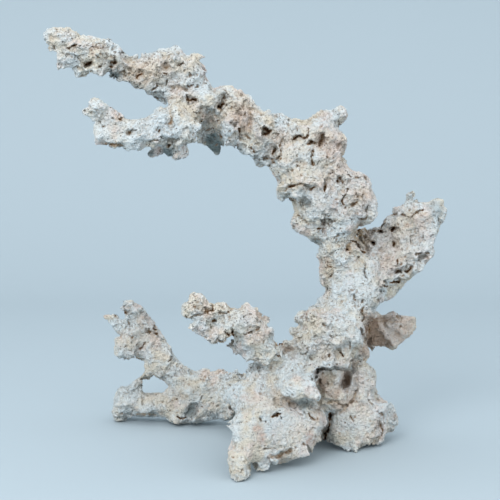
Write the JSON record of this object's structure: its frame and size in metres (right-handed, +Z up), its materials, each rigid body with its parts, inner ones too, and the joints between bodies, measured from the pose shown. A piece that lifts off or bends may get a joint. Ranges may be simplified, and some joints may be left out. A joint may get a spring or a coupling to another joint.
{
  "type": "dry reef rock",
  "caption": "Branching dry reef rock: a lumpy footed base, a trunk curving over into a pitted arch that ends in forked arms, and low side branches.",
  "frame": {"origin": "centre of the rock's footprint box, on the surface that it stands on", "axes": "+Z up, +Y away from the side that the picture shows, +X to that side's right, where the trunk stands"},
  "size_m": [0.4448, 0.2726, 0.473],
  "materials": {
    "reef_rock": "matt and chalky: dry, porous, off-white rock with cream, pinkish and ochre patches, brown in the deep pits"
  },
  "bodies": {
    "root": {"base": "reef_rock", "trunk": "reef_rock", "arch": "reef_rock", "upper_left_arm": "reef_rock", "lower_left_arm": "reef_rock", "right_branch": "reef_rock", "back_fin": "reef_rock", "front_left_branch": "reef_rock", "low_left_branch": "reef_rock", "low_left_fork": "reef_rock"}
  },
  "joints": []
}
